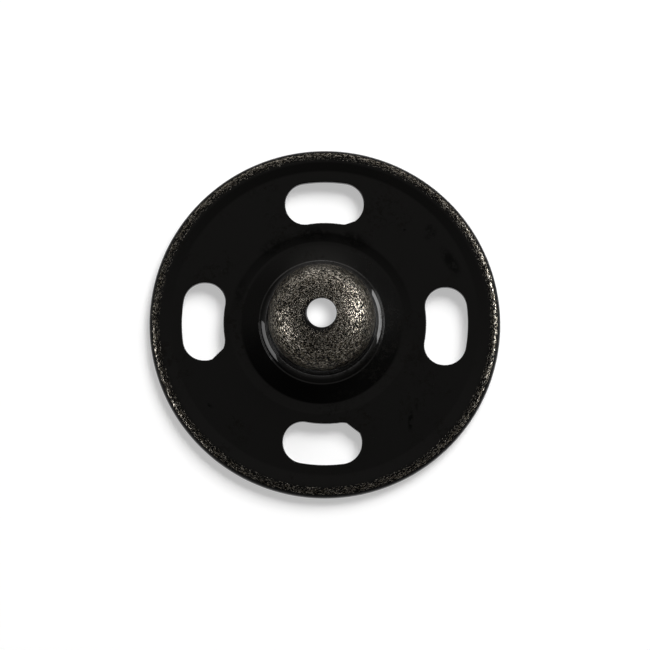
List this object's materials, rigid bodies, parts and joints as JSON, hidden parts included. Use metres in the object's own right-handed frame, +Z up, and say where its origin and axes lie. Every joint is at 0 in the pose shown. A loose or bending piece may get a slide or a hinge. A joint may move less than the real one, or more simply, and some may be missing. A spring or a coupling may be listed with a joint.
{
  "type": "snap fastener",
  "caption": "Stud half of a large sew-on snap fastener: a black lacquered sheet-metal disc with a rolled rim, kidney-shaped sewing slots and a hollow domed stud with a pilot hole.",
  "frame": {"origin": "on the ground at the centre of the disc, which rests on the flat underside of its rolled rim", "axes": "+Z up the disc's axis towards the stud's head, +X and +Y through the sewing slots; the stud stands 0.28 mm off centre along -X"},
  "size_m": [0.03, 0.03, 0.0074],
  "materials": {
    "lacquered_sheet": "gloss black lacquer, rubbed to a fine metallic speckle on the rim and on the stud's head"
  },
  "bodies": {
    "root": {"snap_stud_half": "lacquered_sheet"}
  },
  "joints": []
}
